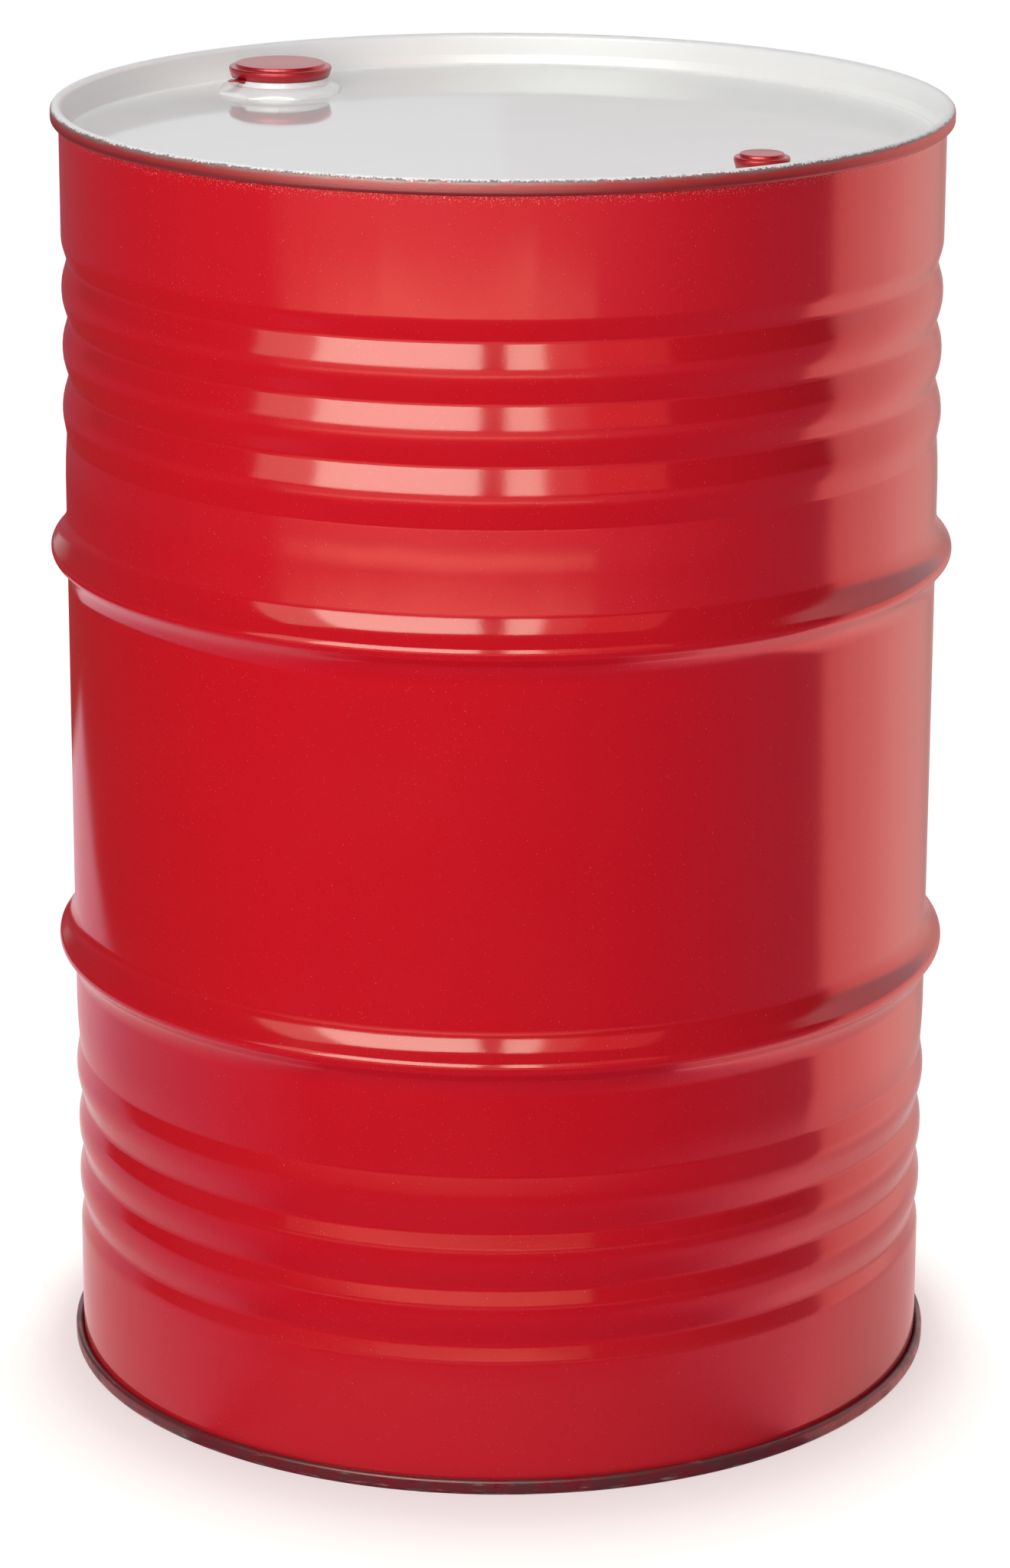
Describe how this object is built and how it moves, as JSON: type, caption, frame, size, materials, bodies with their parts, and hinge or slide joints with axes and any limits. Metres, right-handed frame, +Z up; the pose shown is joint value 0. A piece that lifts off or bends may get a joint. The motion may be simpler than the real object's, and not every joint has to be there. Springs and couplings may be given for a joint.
{
  "type": "tight-head steel drum",
  "caption": "Upright cylindrical steel drum with rolling hoops, corrugated walls, rolled chimes and two screwed bungs under tear-off cap seals.",
  "frame": {"origin": "middle of the circle on which the bottom chime stands", "axes": "+Z up along the drum's axis; +X towards the small bung, -X towards the large bung"},
  "size_m": [0.5947, 0.5948, 0.85],
  "materials": {
    "red_enamel": "semi-gloss red stoving enamel",
    "white_enamel": "gloss white stoving enamel",
    "red_lacquer": "glossy red lacquer on tinplate",
    "zinc_plate": "bright zinc plating",
    "black_rubber": "moulded black rubber",
    "white_liner": "soft white sealing liner",
    "seam_compound": "dried sealing compound"
  },
  "bodies": {
    "root": {"shell": "red_enamel", "top_head": "white_enamel", "bottom_head": "red_enamel", "top_seam_compound": "seam_compound", "bottom_seam_compound": "seam_compound", "large_flange": "zinc_plate", "large_seat_ring": "black_rubber", "small_flange": "zinc_plate", "small_seat_ring": "black_rubber"},
    "large_plug_ring_body": {"large_plug_ring": "black_rubber"},
    "large_plug_body": {"large_plug": "zinc_plate"},
    "large_seal_body": {"large_cap_seal": "red_lacquer", "large_seal_liner": "white_liner"},
    "large_tab_body": {"large_seal_tab": "red_lacquer"},
    "small_plug_ring_body": {"small_plug_ring": "black_rubber"},
    "small_plug_body": {"small_plug": "zinc_plate"},
    "small_seal_body": {"small_cap_seal": "red_lacquer", "small_seal_liner": "white_liner"},
    "small_tab_body": {"small_seal_tab": "red_lacquer"}
  },
  "joints": [
    {"name": "large_plug_rise", "type": "slide", "parent": "root", "child": "large_plug_ring_body", "axis": [0, 0, 1], "range_m": [0, 0.0231]},
    {"name": "large_plug_turn", "type": "hinge", "parent": "large_plug_ring_body", "child": "large_plug_body", "pos_m": [-0.228, 0, 0.828], "axis": [0, 0, 1], "range_deg": [0, 3600]},
    {"name": "large_seal_lift", "type": "slide", "parent": "large_plug_ring_body", "child": "large_seal_body", "axis": [0, 0, 1], "range_m": [0, 0.06]},
    {"name": "large_tab_pull", "type": "hinge", "parent": "large_seal_body", "child": "large_tab_body", "pos_m": [-0.22923, -0.03525, 0.8386], "axis": [-0.9994, 0.0349, 0], "range_deg": [0, 90]},
    {"name": "small_plug_rise", "type": "slide", "parent": "root", "child": "small_plug_ring_body", "axis": [0, 0, 1], "range_m": [0, 0.01815]},
    {"name": "small_plug_turn", "type": "hinge", "parent": "small_plug_ring_body", "child": "small_plug_body", "pos_m": [0.24, 0, 0.828], "axis": [0, 0, 1], "range_deg": [0, 3600]},
    {"name": "small_seal_lift", "type": "slide", "parent": "small_plug_ring_body", "child": "small_seal_body", "axis": [0, 0, 1], "range_m": [0, 0.06]},
    {"name": "small_tab_pull", "type": "hinge", "parent": "small_seal_body", "child": "small_tab_body", "pos_m": [0.2284, 0.01382, 0.8386], "axis": [0.766, 0.6428, 0], "range_deg": [0, 90]}
  ],
  "couplings": [
    {"joint": "large_plug_rise", "follows": "large_plug_turn", "m_per_rad": 0.00036749},
    {"joint": "small_plug_rise", "follows": "small_plug_turn", "m_per_rad": 0.00028871}
  ]
}
